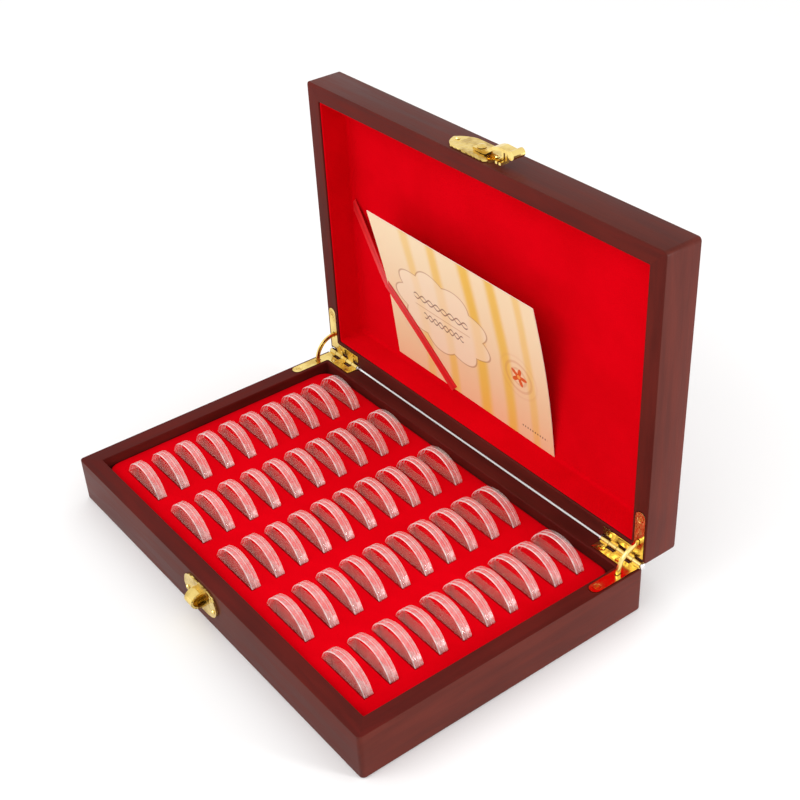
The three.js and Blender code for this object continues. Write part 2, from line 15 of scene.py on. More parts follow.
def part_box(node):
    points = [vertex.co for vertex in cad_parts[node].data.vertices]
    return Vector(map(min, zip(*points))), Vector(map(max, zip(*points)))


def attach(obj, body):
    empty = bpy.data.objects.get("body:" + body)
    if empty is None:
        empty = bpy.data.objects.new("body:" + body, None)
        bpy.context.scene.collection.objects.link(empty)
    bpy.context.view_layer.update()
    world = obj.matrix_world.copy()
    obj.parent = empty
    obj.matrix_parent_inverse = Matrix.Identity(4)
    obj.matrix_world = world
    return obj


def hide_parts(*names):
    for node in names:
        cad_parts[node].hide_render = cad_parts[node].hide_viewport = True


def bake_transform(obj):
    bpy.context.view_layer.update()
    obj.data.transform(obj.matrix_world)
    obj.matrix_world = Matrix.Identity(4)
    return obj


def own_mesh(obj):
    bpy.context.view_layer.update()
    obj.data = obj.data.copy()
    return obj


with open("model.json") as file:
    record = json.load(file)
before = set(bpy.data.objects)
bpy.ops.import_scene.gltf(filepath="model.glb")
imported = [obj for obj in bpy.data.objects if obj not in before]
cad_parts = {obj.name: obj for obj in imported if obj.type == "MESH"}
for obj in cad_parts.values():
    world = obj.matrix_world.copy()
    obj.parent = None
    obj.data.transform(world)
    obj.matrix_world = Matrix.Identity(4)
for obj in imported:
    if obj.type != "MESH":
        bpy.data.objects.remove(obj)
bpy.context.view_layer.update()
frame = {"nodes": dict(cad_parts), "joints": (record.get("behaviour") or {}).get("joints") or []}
scene = bpy.context.scene

# ---------- sizes taken from the frame, in millimetres ----------
MM = 0.001
joints = {j["name"]: j for j in frame["joints"]}


def box_mm(node):
    low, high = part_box(node)
    return low / MM, high / MM


_, HINGE_Y, HINGE_Z = (v / MM for v in joints["lid_hinge"]["pos_m"])
front_low, front_high = box_mm("base_front_rail")
lid_low, lid_high = box_mm("lid_front_rail")
tray_low, tray_high = box_mm("slotted_tray_insert")
lining_low, lining_high = box_mm("lid_lining")
HALF_X = front_high.x
DEPTH = HINGE_Y - front_low.y
WALL = front_high.y - front_low.y
RIM = HINGE_Z - front_high.z
BASE_HEIGHT = front_high.z
LID_HEIGHT = lid_high.y - lid_low.y
MIDDLE_Y = -DEPTH / 2
HALF_Y = DEPTH / 2
CARD_LEAN = math.radians(joints["card_lean"]["range_deg"][1])
CARD_FOOT = Vector(joints["card_lean"]["pos_m"]) / MM

# ---------- driving dimensions ----------
CORNER = 3.0
EDGE = 0.35
PANEL = 3.7
REBATE = 6.0
LINING = 1.0
COLUMNS = 5
ROWS = 10
CAPSULE_THICKNESS = 6.5
CARD_WIDTH = 168.0
CARD_HEIGHT = 126.0
CARD_TILT = math.radians(1.5)

BASE = Matrix.Translation((0, HINGE_Y * MM, HINGE_Z * MM)) @ Matrix.Scale(MM, 4)
OPENED = Matrix(((1, 0, 0, 0), (0, 0, -1, 0), (0, -1, 0, 0), (0, 0, 0, 1)))
LID = BASE @ OPENED
MIRROR = Matrix.Scale(-1, 4, (1, 0, 0))
WORLD = Matrix.Scale(MM, 4)


# ---------- mesh helpers ----------
def to_object(name, bm, *materials):
    """A new object from a bmesh, in the drawing's millimetres."""
    bmesh.ops.recalc_face_normals(bm, faces=bm.faces)
    mesh = bpy.data.meshes.new(name)
    bm.to_mesh(mesh)
    bm.free()
    for material in materials:
        mesh.materials.append(material)
    obj = bpy.data.objects.new(name, mesh)
    scene.collection.objects.link(obj)
    return obj


def bake(obj):
    """Applies an object's modifiers to its mesh."""
    graph = bpy.context.evaluated_depsgraph_get()
    mesh = bpy.data.meshes.new_from_object(obj.evaluated_get(graph))
    obj.modifiers.clear()
    obj.data = mesh
    return obj


def combine(obj, others, operation):
    """A boolean of obj with other objects, which are used up."""
    for other in others:
        other.data.materials.clear()
        for material in obj.data.materials:
            other.data.materials.append(material)
        modifier = obj.modifiers.new("combine", "BOOLEAN")
        modifier.object = other
        modifier.operation = operation
        modifier.solver = "EXACT"
    bake(obj)
    for other in others:
        bpy.data.objects.remove(other)
    return obj


def carve(obj, cutters):
    return combine(obj, cutters, "DIFFERENCE")


def soften(obj, width, segments=2, angle=40):
    """Rounds the edges sharper than an angle."""
    modifier = obj.modifiers.new("soften", "BEVEL")
    modifier.width = width
    modifier.segments = segments
    modifier.limit_method = "ANGLE"
    modifier.angle_limit = math.radians(angle)
    modifier.harden_normals = False
    return bake(obj)


def smooth(obj, angle=35):
    obj.data.shade_smooth()
    obj.data.set_sharp_from_angle(angle=math.radians(angle))
    return obj


def put(obj, place, body, slot, *nodes, angle=35):
    """Moves a finished drawing into the frame: it rides on a body and stands for CAD nodes."""
    obj.data.transform(place)
    if place.determinant() < 0:
        obj.data.flip_normals()
    smooth(obj, angle)
    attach(obj, body)
    if nodes:
        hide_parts(*nodes)
    return obj


def copy_of(obj, name):
    twin = obj.copy()
    twin.data = obj.data.copy()
    twin.name = name
    scene.collection.objects.link(twin)
    return twin


def add_block(bm, low, high):
    """A closed box between two corners."""
    size = [b - a for a, b in zip(low, high)]
    centre = [(a + b) / 2 for a, b in zip(low, high)]
    matrix = Matrix.Translation(centre) @ Matrix.Diagonal((*size, 1))
    bmesh.ops.create_cube(bm, size=1, matrix=matrix)


def add_prism(bm, outline, low, high, axes="xyz"):
    """A closed prism of a flat outline, extruded between two heights along the third axis named."""
    order = ["xyz".index(a) for a in axes]

    def vertex(a, b, c):
        point = [0, 0, 0]
        for index, value in zip(order, (a, b, c)):
            point[index] = value
        return bm.verts.new(point)

    bottom = [vertex(a, b, low) for a, b in outline]
    top = [vertex(a, b, high) for a, b in outline]
    bm.faces.new(bottom[::-1])
    bm.faces.new(top)
    count = len(outline)
    for i in range(count):
        j = (i + 1) % count
        bm.faces.new((bottom[i], bottom[j], top[j], top[i]))


def block(name, low, high):
    bm = bmesh.new()
    add_block(bm, low, high)
    return to_object(name, bm)


def prism(name, outline, low, high, axes="xyz"):
    bm = bmesh.new()
    add_prism(bm, outline, low, high, axes)
    return to_object(name, bm)


def arc(cx, cy, radius, start, end, steps):
    """Points on an arc, angles in degrees, both ends included."""
    angles = [math.radians(start + (end - start) * i / steps) for i in range(steps + 1)]
    return [(cx + radius * math.cos(a), cy + radius * math.sin(a)) for a in angles]


def add_skin(bm, rings, closed=False, caps=True, index=lambda i: 0):
    """Joins rings of equal length one after another. closed joins the last to the first."""
    loops = [[bm.verts.new(p) for p in ring] for ring in rings]
    count = len(rings[0])
    pairs = list(zip(loops, loops[1:]))
    if closed:
        pairs.append((loops[-1], loops[0]))
    for step, (a, b) in enumerate(pairs):
        for i in range(count):
            j = (i + 1) % count
            face = bm.faces.new((a[i], a[j], b[j], b[i]))
            face.material_index = index(step)
    if caps and not closed:
        bm.faces.new(loops[0][::-1])
        face = bm.faces.new(loops[-1])
        face.material_index = index(len(pairs) - 1)


def frame_ring(half_x, half_y, radius, z, steps=5):
    """A rounded rectangle about the case's middle, at height z."""
    points = []
    for turn, (sx, sy) in enumerate(((1, 1), (-1, 1), (-1, -1), (1, -1))):
        cx, cy = sx * (half_x - radius), MIDDLE_Y + sy * (half_y - radius)
        points += [(x, y, z) for x, y in arc(cx, cy, radius, turn * 90, turn * 90 + 90, steps)]
    return points


def frame_rings(profile, half_x=None, half_y=None):
    """Rings from [inset, corner radius, height] triples."""
    hx, hy = half_x or HALF_X, half_y or HALF_Y
    return [frame_ring(hx - inset, hy - inset, radius, z) for inset, radius, z in profile]


def add_lathe(bm, profile, segments=32, matrix=None, closed=False, index=lambda i: 0):
    """Turns [radius, height] pairs about Z. An open profile starts and ends on the axis."""
    matrix = matrix or Matrix()
    rings = []
    for radius, height in profile:
        if radius <= 0:
            rings.append([bm.verts.new(matrix @ Vector((0, 0, height)))])
            continue
        turn = 2 * math.pi / segments
        points = [(radius * math.cos(i * turn), radius * math.sin(i * turn), height) for i in range(segments)]
        rings.append([bm.verts.new(matrix @ Vector(p)) for p in points])
    pairs = list(zip(rings, rings[1:]))
    if closed:
        pairs.append((rings[-1], rings[0]))
    for step, (a, b) in enumerate(pairs):
        for i in range(segments):
            j = (i + 1) % segments
            corners = [a[i % len(a)], a[j % len(a)], b[j % len(b)], b[i % len(b)]]
            face = bm.faces.new(list(dict.fromkeys(corners)))
            face.material_index = index(step)


def lathe(name, profile, segments=32, matrix=None):
    bm = bmesh.new()
    add_lathe(bm, profile, segments, matrix)
    return to_object(name, bm)


def add_sheet(bm, grid, thickness):
    """A closed sheet from a grid of (point, normal), its back on the points."""
    rows, columns = len(grid), len(grid[0])
    back = [[bm.verts.new(p) for p, _ in row] for row in grid]
    front = [[bm.verts.new(p + n * thickness) for p, n in row] for row in grid]
    uv = bm.loops.layers.uv.verify()

    def quad(corners, uvs, index=0):
        face = bm.faces.new(corners)
        face.material_index = index
        for loop, value in zip(face.loops, uvs):
            loop[uv].uv = value

    def at(i, j):
        return (j / (columns - 1), i / (rows - 1))

    for i in range(rows - 1):
        for j in range(columns - 1):
            cells = [(i, j), (i, j + 1), (i + 1, j + 1), (i + 1, j)]
            uvs = [at(*c) for c in cells]
            quad([front[a][b] for a, b in cells], uvs)
            quad([back[a][b] for a, b in cells[::-1]], uvs[::-1], 1)
    border = [(0, j) for j in range(columns)] + [(i, columns - 1) for i in range(1, rows)]
    border += [(rows - 1, j) for j in range(columns - 2, -1, -1)] + [(i, 0) for i in range(rows - 2, 0, -1)]
    for a, b in zip(border, border[1:] + border[:1]):
        corners = [back[a[0]][a[1]], back[b[0]][b[1]], front[b[0]][b[1]], front[a[0]][a[1]]]
        quad(corners, [at(*a), at(*b), at(*b), at(*a)], 1)


# ---------- node helpers ----------
class Paint:
    """A material's node tree. Its Terms do arithmetic by adding nodes."""

    def __init__(self, name, **sockets):
        self.material = bpy.data.materials.new(name)
        self.material.use_nodes = True
        self.tree = self.material.node_tree
        self.shader = self.tree.nodes["Principled BSDF"]
        self.output = self.tree.nodes["Material Output"]
        for key, value in sockets.items():
            self.shader.inputs[key.replace("_", " ")].default_value = value

    def add(self, kind, inputs=None, output=0, **settings):
        node = self.tree.nodes.new("ShaderNode" + kind)
        for key, value in settings.items():
            setattr(node, key, value)
        for key, value in (inputs or {}).items():
            self.join(value, node.inputs[key])
        return Term(self, node.outputs[output])

    def join(self, value, socket):
        if isinstance(value, Term):
            self.tree.links.new(value.socket, socket)
        else:
            socket.default_value = value

    def set(self, **sockets):
        for key, value in sockets.items():
            self.join(value, self.shader.inputs[key.replace("_", " ")])

    def position(self):
        return self.add("TexCoord", output="Object")

    def uv(self):
        return self.add("TexCoord", output="UV")

    def noise(self, vector, scale, detail=3, rough=0.5, distort=0.0):
        inputs = {"Vector": vector, "Scale": scale, "Detail": detail, "Roughness": rough, "Distortion": distort}
        return self.add("TexNoise", inputs)

    def stretched(self, vector, x, y, z):
        return self.add("VectorMath", {0: vector, 1: (x, y, z)}, operation="MULTIPLY")

    def mix(self, factor, a, b):
        return self.add("Mix", {0: factor, 6: a, 7: b}, output=2, data_type="RGBA")

    def bump(self, height, distance, strength=1.0):
        self.set(Normal=self.add("Bump", {"Height": height, "Distance": distance, "Strength": strength}))


class Term:
    """A socket that can be added, scaled and compared."""

    def __init__(self, paint, socket):
        self.paint = paint
        self.socket = socket

    def math(self, operation, *others, **settings):
        inputs = {0: self}
        inputs.update({i + 1: other for i, other in enumerate(others)})
        return self.paint.add("Math", inputs, operation=operation, **settings)

    def __add__(self, other):
        return self.math("ADD", other)

    def __sub__(self, other):
        return self.math("SUBTRACT", other)

    def __mul__(self, other):
        return self.math("MULTIPLY", other)

    def __truediv__(self, other):
        return self.math("DIVIDE", other)

    def __abs__(self):
        return self.math("ABSOLUTE")

    def over(self, other):
        return self.math("GREATER_THAN", other)

    def step(self, low, high, start=0.0, end=1.0):
        """A smooth step from one value to another."""
        inputs = {0: self, 1: low, 2: high, 3: start, 4: end}
        return self.paint.add("MapRange", inputs, interpolation_type="SMOOTHSTEP")

    def xyz(self):
        node = self.paint.tree.nodes.new("ShaderNodeSeparateXYZ")
        self.paint.join(self, node.inputs[0])
        return [Term(self.paint, s) for s in node.outputs]


# ---------- materials ----------
def wood(name, dark, light, roughness, coat, board=None):
    """Stained wood. board is (across axis, middle, half width): past it the grain runs across."""
    paint = Paint(name, Roughness=roughness, Coat_Weight=coat, Coat_Roughness=0.3, Specular_IOR_Level=0.08)
    place = paint.position()
    along = paint.stretched(place, 14, 160, 160)
    if board:
        axis, middle, half = board
        parts = place.xyz()
        sideways = abs(parts[0]) - HALF_X * MM
        frontal = abs(parts[axis] - middle) - half
        scale = [160, 160, 160]
        scale[axis] = 14
        across = paint.stretched(place, *scale)
        along = paint.add("Mix", {0: sideways.math("GREATER_THAN", frontal), 4: along, 5: across},
                          output=1, data_type="VECTOR")
    grain = paint.noise(along, 1.0, 6, 0.62, 0.3)
    broad = paint.noise(place, 14.0, 2, 0.5)
    pores = paint.noise(along, 5.0, 2, 0.7)
    shade = grain.step(0.32, 0.72) * 0.65 + broad.step(0.3, 0.7) * 0.35
    colour = paint.mix(shade, (*dark, 1), (*light, 1))
    paint.set(Base_Color=colour, Roughness=grain.step(0.3, 0.7, roughness * 0.85, roughness * 1.15))
    paint.bump(grain * 0.6 + pores * 0.4, 0.00012)
    return paint.material


def flock(name, colour, deep):
    """Short velvet fibres: mottled nap and a fine tufted surface."""
    paint = Paint(name, Roughness=1.0, Sheen_Weight=0.08, Sheen_Roughness=0.5, Specular_IOR_Level=0.0)
    paint.set(Sheen_Tint=(1.0, 0.1, 0.12, 1))
    place = paint.position()
    nap = paint.noise(place, 26.0, 3, 0.55)
    tufts = paint.noise(place, 1500.0, 2, 0.7)
    shade = nap.step(0.25, 0.75) * 0.7 + tufts.step(0.3, 0.7) * 0.3
    paint.set(Base_Color=paint.mix(shade, (*deep, 1), (*colour, 1)))
    paint.bump(tufts, 0.00018)
    return paint.material


def clear(name, solid, tint, gloss):
    """Clear moulded plastic that lets most light through: solid is the share that the eye sees lit."""
    paint = Paint(name, Roughness=0.07, Base_Color=(*tint, 1), Coat_Weight=0.0)
    place = paint.position()
    haze = paint.noise(place, 240.0, 3, 0.6)
    edge = paint.add("LayerWeight", {"Blend": 0.2}, output="Fresnel")
    share = haze.step(0.35, 0.7, solid * 0.75, solid * 1.25) + edge * gloss
    paint.set(Roughness=haze.step(0.3, 0.7, 0.04, 0.12))
    through = paint.add("BsdfTransparent", {"Color": (1.0, 0.99, 0.99, 1)})
    lit = Term(paint, paint.shader.outputs[0])
    mixed = paint.add("MixShader", {0: share.math("MINIMUM", 1.0), 1: through, 2: lit})
    paint.join(mixed, paint.output.inputs["Surface"])
    return paint.material


def metal(name, colour, dull, roughness, relief=0.0, scale=900.0):
    """Polished plated metal with fine wear, and stamped relief where asked."""
    paint = Paint(name, Metallic=1.0, Roughness=roughness)
    place = paint.position()
    wear = paint.noise(place, 110.0, 3, 0.5)
    paint.set(Base_Color=paint.mix(wear.step(0.35, 0.75), (*colour, 1), (*dull, 1)))
    paint.set(Roughness=wear.step(0.3, 0.75, roughness * 0.7, roughness * 1.6))
    height = paint.noise(place, 1800.0, 2, 0.5) * 0.01
    if relief:
        height = height + paint.add("TexVoronoi", {"Vector": place, "Scale": scale}) * relief
    paint.bump(height, 0.00025)
    return paint.material


def satin(name, colour, deep):
    """Woven ribbon: fine cross ribs and a long soft sheen, with painted shade in bands across its width that
    stands for a fold.
    """
    paint = Paint(name, Roughness=0.42, Sheen_Weight=0.3, Sheen_Roughness=0.3)
    across, along, _ = paint.uv().xyz()
    ribs = (along * 2200.0).math("SINE") * 0.5 + 0.5
    # painted shade: the colour darkens in bands across the ribbon's width, as a fold's shade would
    painted_fold_shade = (across * 9.4).math("SINE") * 0.5 + 0.5
    paint.set(Base_Color=paint.mix(painted_fold_shade * 0.7 + ribs * 0.3, (*deep, 1), (*colour, 1)))
    paint.bump(ribs, 0.00004)
    return paint.material


def printed_card(name):
    """Cream stock with soft golden stripes, a scalloped cartouche, a rosette and ruled dots."""
    paint = Paint(name, Roughness=0.5, Specular_IOR_Level=0.4)
    across, up, _ = paint.uv().xyz()
    x = across * CARD_WIDTH
    y = up * CARD_HEIGHT
    cream, gold = (0.90, 0.77, 0.50, 1), (0.84, 0.56, 0.10, 1)
    peach, pale = (0.87, 0.62, 0.36, 1), (0.93, 0.82, 0.62, 1)
    colour = paint.mix(up.step(0.0, 0.9), peach, cream)
    colour = paint.mix(across.step(0.0, 0.35, 0.25, 0.0), colour, peach)
    drift = paint.noise(paint.stretched(paint.uv(), 3.0, 1.2, 1.0), 1.0, 2, 0.5) * 0.04
    for middle, width, strength in ((0.235, 0.03, 0.6), (0.40, 0.03, 0.8), (0.60, 0.036, 1.0),
                                    (0.755, 0.032, 0.95), (0.90, 0.024, 0.6)):
        gap = abs(across - middle + drift - 0.02)
        colour = paint.mix(gap.step(width * 0.3, width * 1.5, strength, 0.0), colour, gold)
    # a scalloped cartouche left of the middle
    cx, cy, rx, ry = CARD_WIDTH * 0.37, CARD_HEIGHT * 0.50, CARD_WIDTH * 0.30, CARD_HEIGHT * 0.27
    dx, dy = (x - cx) / rx, (y - cy) / ry
    reach = (dx * dx + dy * dy).math("SQRT")
    turn = dy.math("ARCTAN2", dx)
    scallop = abs((turn * 4.5).math("SINE")) * 0.16 + 0.86
    inside = (scallop - reach).step(0.0, 0.02)
    colour = paint.mix(inside * 0.55, colour, pale)
    line = abs(scallop - reach).step(0.008, 0.022, 0.6, 0.0)
    colour = paint.mix(line, colour, (0.42, 0.20, 0.10, 1))
    # two flourishes inside it
    for height, length, waves in ((6.0, 30.0, 0.42), (-9.0, 22.0, 0.55)):
        wave = ((x - cx) * waves).math("SINE") * 2.4
        strands = [abs(y - cy - height - wave), abs(y - cy - height + wave)]
        near = strands[0].math("MINIMUM", strands[1]).step(0.3, 0.9, 0.8, 0.0)
        within = abs(x - cx).step(length * 0.92, length, 1.0, 0.0)
        colour = paint.mix(near * within, colour, (0.16, 0.05, 0.025, 1))
    rule = abs(y - cy + 2.2).step(0.25, 0.7, 0.5, 0.0) * abs(x - cx).step(28.0, 31.0, 1.0, 0.0)
    colour = paint.mix(rule, colour, (0.5, 0.28, 0.10, 1))
    # a rosette with rings about it
    sx, sy = x - CARD_WIDTH * 0.83, y - CARD_HEIGHT * 0.42
    reach = (sx * sx + sy * sy).math("SQRT")
    turn = sy.math("ARCTAN2", sx)
    rings = (reach * 1.15).math("SINE").step(-0.2, 0.9, 0.0, 0.35) * reach.step(12.0, 21.0, 1.0, 0.0)
    colour = paint.mix(rings, colour, (0.62, 0.28, 0.12, 1))
    petals = (turn * 5.0).math("COSINE") * 2.6 + 5.6
    flower = (petals - reach).step(0.0, 0.6)
    colour = paint.mix(flower, colour, (0.72, 0.12, 0.02, 1))
    heart = reach.step(1.3, 1.9, 1.0, 0.0)
    colour = paint.mix(heart, colour, (0.86, 0.42, 0.10, 1))
    # a row of dots by the lower right corner
    row = abs(y - CARD_HEIGHT * 0.085).step(0.5, 0.9, 1.0, 0.0)
    dots = (x * 2.6).math("SINE").step(0.0, 0.4) * (x - CARD_WIDTH * 0.815).over(0.0)
    dots = dots * (x - CARD_WIDTH * 0.965).math("LESS_THAN", 0.0)
    colour = paint.mix(row * dots * 0.85, colour, (0.06, 0.02, 0.02, 1))
    paint.set(Base_Color=colour)
    fibres = paint.noise(paint.position(), 900.0, 3, 0.6)
    paint.bump(fibres, 0.00003)
    return paint.material


lacquer_base = wood("lacquer_base", (0.072, 0.012, 0.008), (0.118, 0.020, 0.013), 0.42, 0.03,
                    (1, (HINGE_Y + MIDDLE_Y) * MM, HALF_Y * MM))
lacquer_lid = wood("lacquer_lid", (0.072, 0.012, 0.008), (0.118, 0.020, 0.013), 0.42, 0.03,
                   (2, (HINGE_Z - MIDDLE_Y) * MM, HALF_Y * MM))
rim_base = wood("rim_base", (0.065, 0.007, 0.005), (0.115, 0.011, 0.008), 0.6, 0.0,
                (1, (HINGE_Y + MIDDLE_Y) * MM, HALF_Y * MM))
# painted light: the lid's rims are the same wood as the base's but are painted lighter, for rims that face
# forward where the base's face up
rim_lid = wood("rim_lid", (0.078, 0.010, 0.007), (0.132, 0.016, 0.011), 0.6, 0.0,
               (2, (HINGE_Z - MIDDLE_Y) * MM, HALF_Y * MM))
under_board = wood("under_board", (0.02, 0.008, 0.006), (0.05, 0.02, 0.014), 0.7, 0.0)
red_flock = flock("red_flock", (0.72, 0.0, 0.006), (0.62, 0.0, 0.004))
clear_rim = clear("clear_rim", 0.26, (1.0, 0.90, 0.87), 0.04)
clear_face = clear("clear_face", 0.0015, (1.0, 0.95, 0.94), 0.0015)
clear_edge = clear("clear_edge", 0.6, (1.0, 0.94, 0.92), 0.08)
clear_foot = clear("clear_foot", 0.08, (1.0, 0.60, 0.52), 0.003)
brass = metal("polished_brass", (0.93, 0.72, 0.25), (0.70, 0.47, 0.12), 0.18)
stamped_brass = metal("stamped_brass", (0.90, 0.68, 0.22), (0.50, 0.32, 0.07), 0.18, 1.0, 420.0)
steel = metal("pin_steel", (0.92, 0.88, 0.88), (0.75, 0.7, 0.7), 0.25)
card_print = printed_card("card_print")
ribbon_satin = satin("ribbon_satin", (0.80, 0.010, 0.014), (0.60, 0.004, 0.008))

card_stock = Paint("card_stock", Roughness=0.7)
stock_fibre = card_stock.noise(card_stock.position(), 700.0, 3, 0.6)
card_stock.set(Base_Color=card_stock.mix(stock_fibre, (0.93, 0.78, 0.70, 1), (0.96, 0.88, 0.80, 1)))
card_stock = card_stock.material


# ---------- camera and light ----------
VIEW_AZIMUTH = math.radians(54.892)
VIEW_HEIGHT = math.radians(36.117)
VIEW_ROLL = math.radians(-3.517)
VIEW_DISTANCE = 0.88505
VIEW_TARGET = Vector((0.01017, 0.04186, 0.067))
LENS = 61.32
SENSOR = 36.0
SHIFT_Y = 0.0625


def aim(obj, eye, target, roll=0.0):
    obj.location = eye
    turn = (target - eye).to_track_quat("-Z", "Y").to_matrix() @ Matrix.Rotation(roll, 3, "Z")
    obj.rotation_mode = "QUATERNION"
    obj.rotation_quaternion = turn.to_quaternion()


def make_camera():
    data = bpy.data.cameras.new("camera")
    data.sensor_width = SENSOR
    data.lens = LENS
    data.shift_y = SHIFT_Y
    data.clip_start = 0.01
    data.clip_end = 50
    camera = bpy.data.objects.new("camera", data)
    scene.collection.objects.link(camera)
    ground = math.cos(VIEW_HEIGHT)
    back = Vector((math.sin(VIEW_AZIMUTH) * ground, -math.cos(VIEW_AZIMUTH) * ground, math.sin(VIEW_HEIGHT)))
    aim(camera, VIEW_TARGET + back * VIEW_DISTANCE, VIEW_TARGET, VIEW_ROLL)
    scene.camera = camera


def area_light(name, eye, target, size, watts, colour=(1, 1, 1)):
    data = bpy.data.lights.new(name, "AREA")
    data.shape = "RECTANGLE"
    data.size, data.size_y = size
    data.energy = watts
    data.color = colour
    light = bpy.data.objects.new(name, data)
    scene.collection.objects.link(light)
    aim(light, Vector(eye), Vector(target))
    return light


def make_studio():
    world = bpy.data.worlds.new("studio")
    scene.world = world
    world.use_nodes = True
    world.node_tree.nodes["Background"].inputs["Color"].default_value = (1.0, 0.99, 0.985, 1)
    world.node_tree.nodes["Background"].inputs["Strength"].default_value = 1.0
    area_light("side_panel", (0.95, 0.42, 0.28), (0, 0, 0.05), (0.2, 0.3), 5)
    area_light("key_panel", (-0.3, -1.2, 1.3), (0, 0, 0.08), (1.0, 0.8), 8)
    scene.view_settings.view_transform = "Standard"
    scene.cycles.transparent_max_bounces = 40
    bm = bmesh.new()
    bmesh.ops.create_grid(bm, x_segments=2, y_segments=2, size=6)
    paint = Paint("pale_floor", Roughness=0.9)
    cloud = paint.noise(paint.position(), 1.5, 2)
    paint.set(Base_Color=paint.mix(cloud, (0.93, 0.93, 0.93, 1), (0.95, 0.95, 0.95, 1)))
    floor = to_object("floor", bm, paint.material)
    floor.location.z = -0.0004


# ---------- the case's two halves ----------
def corner_arc(inset, z, radius, start, end, corner, steps=4):
    """Profile points round an edge: the arc's centre is given by inset and height, angles in degrees."""
    points = arc(inset, z, radius, start, end, steps)
    return [(a, max(corner - a, 0.8), h) for a, h in points]


def half_case(name, height, lid, materials):
    """A frame of four walls with its rim up. The lid's half also has its panel."""
    floor = -RIM - height
    rim = -RIM
    edge = corner_arc(EDGE, rim - EDGE, EDGE, 180, 90, CORNER)
    inner = [(WALL - 0.4, 0.8, rim), (WALL, 0.8, rim - 0.4)]
    bm = bmesh.new()
    if lid:
        profile = corner_arc(2.0, floor + 2.0, 2.0, 270, 180, CORNER)
        profile += edge + inner + [(WALL, 0.8, floor + PANEL)]
        rim_step = range(9, 12)
        add_skin(bm, frame_rings(profile), index=lambda i: 1 if i in rim_step else 0)
    else:
        profile = corner_arc(1.0, floor + 1.0, 1.0, 270, 180, CORNER)
        profile += edge + inner
        profile += [(WALL, 0.8, floor + PANEL + 0.3), (REBATE, 0.8, floor + PANEL + 0.3), (REBATE, 0.8, floor)]
        rim_step = range(9, 14)
        add_skin(bm, frame_rings(profile), closed=True, index=lambda i: 1 if i in rim_step else 0)
    return to_object(name, bm, *materials)


# ---------- hinges, drawn on the right ----------
REAR_IN = 131.5
REAR_OUT = 165.5
LEG = 8.0
LEG_MIDDLE = REAR_OUT - LEG / 2
SIDE_LEG = 39.0
REAR_REACH = 9.8
LEAF = 1.5
LEAF_TOP = -RIM + 0.3
LEAF_BOTTOM = LEAF_TOP - LEAF
BARREL = 2.2
LEAF_EDGE = -BARREL - 0.6
KNUCKLES = 5
KNUCKLE_GAP = 0.4
KNUCKLE = (REAR_OUT - REAR_IN - KNUCKLE_GAP * (KNUCKLES - 1)) / KNUCKLES
STAY_IN, STAY_OUT = 14.7, 17.7
STAY_THICK = 1.6
SCREWS = [(LEG_MIDDLE, -33.5), (152.0, -6.4), (137.0, -6.4)]
SCREW_HEAD = 2.2


def leaf_outline(grow):
    inside, outside = REAR_OUT - LEG - grow, REAR_OUT + grow
    end = -SIDE_LEG - grow
    half = (outside - inside) / 2
    points = [(outside, LEAF_EDGE + grow), (REAR_IN - grow, LEAF_EDGE + grow)]
    points += [(REAR_IN - grow, -REAR_REACH - grow), (inside - 1.5, -REAR_REACH - grow)]
    points += arc(inside - 1.5, -REAR_REACH - grow - 1.5, 1.5, 90, 0, 3)
    points += arc(inside + half, end + half, half, 180, 360, 10)
    return points


def knuckle_outline():
    """The curl of a leaf round the pin, as y and z."""
    top = math.degrees(math.asin(LEAF_TOP / BARREL))
    bottom = math.degrees(math.asin(LEAF_BOTTOM / BARREL))
    ring = arc(0, 0, BARREL, -180 - bottom, 180 - top, 26)
    return [(LEAF_EDGE - 0.4, LEAF_TOP), (LEAF_EDGE - 0.4, LEAF_BOTTOM)] + ring


def knuckle_span(k):
    start = REAR_IN + k * (KNUCKLE + KNUCKLE_GAP)
    return start, start + KNUCKLE


def hinge_seats():
    """What the hinge needs cut out of the wood."""
    bottom = LEAF_BOTTOM - 0.2
    turn = Matrix.Rotation(math.pi / 2, 4, "Y")
    channel = [(0, REAR_IN - 2), (BARREL + 0.5, REAR_IN - 2), (BARREL + 0.5, HALF_X + 2), (0, HALF_X + 2)]
    return [
        prism("cut", leaf_outline(0.35), bottom, 3),
        block("cut", (REAR_IN - 0.4, LEAF_EDGE - 1, bottom), (REAR_OUT + 0.4, 2, 3)),
        lathe("cut", channel, 24, turn),
        block("cut", (LEG_MIDDLE - 2.1, -STAY_OUT - 1.2, -17), (LEG_MIDDLE + 2.1, -6.4, 1)),
    ]


def hinge_leaf(name, carried):
    plate = prism(name, leaf_outline(0), LEAF_BOTTOM, LEAF_TOP)
    plate.data.materials.append(brass)
    curl = knuckle_outline()
    curls = [prism("curl", curl, *knuckle_span(k), "yzx") for k in carried]
    combine(plate, curls, "UNION")
    cutters = []
    for k in set(range(KNUCKLES)) - set(carried):
        start, end = knuckle_span(k)
        cutters.append(block("cut", (start - 0.3, -4.4, -3), (end + 0.3, 0, 1)))
    slot = 0.35 + STAY_THICK / 2
    cutters.append(block("cut", (LEG_MIDDLE - slot, -STAY_OUT - 0.6, -4), (LEG_MIDDLE + slot, -STAY_IN + 0.8, 2)))
    sink = SCREW_HEAD + 0.25
    cone = [(0, LEAF_BOTTOM - 1), (1.5, LEAF_BOTTOM - 1), (1.5, LEAF_BOTTOM)]
    cone += [(sink, LEAF_TOP + 0.02), (sink, 1), (0, 1)]
    for x, y in SCREWS:
        cutters.append(lathe("cut", cone, 24, Matrix.Translation((x, y, 0))))
    carve(plate, cutters)
    return soften(plate, 0.16, 2, 50)


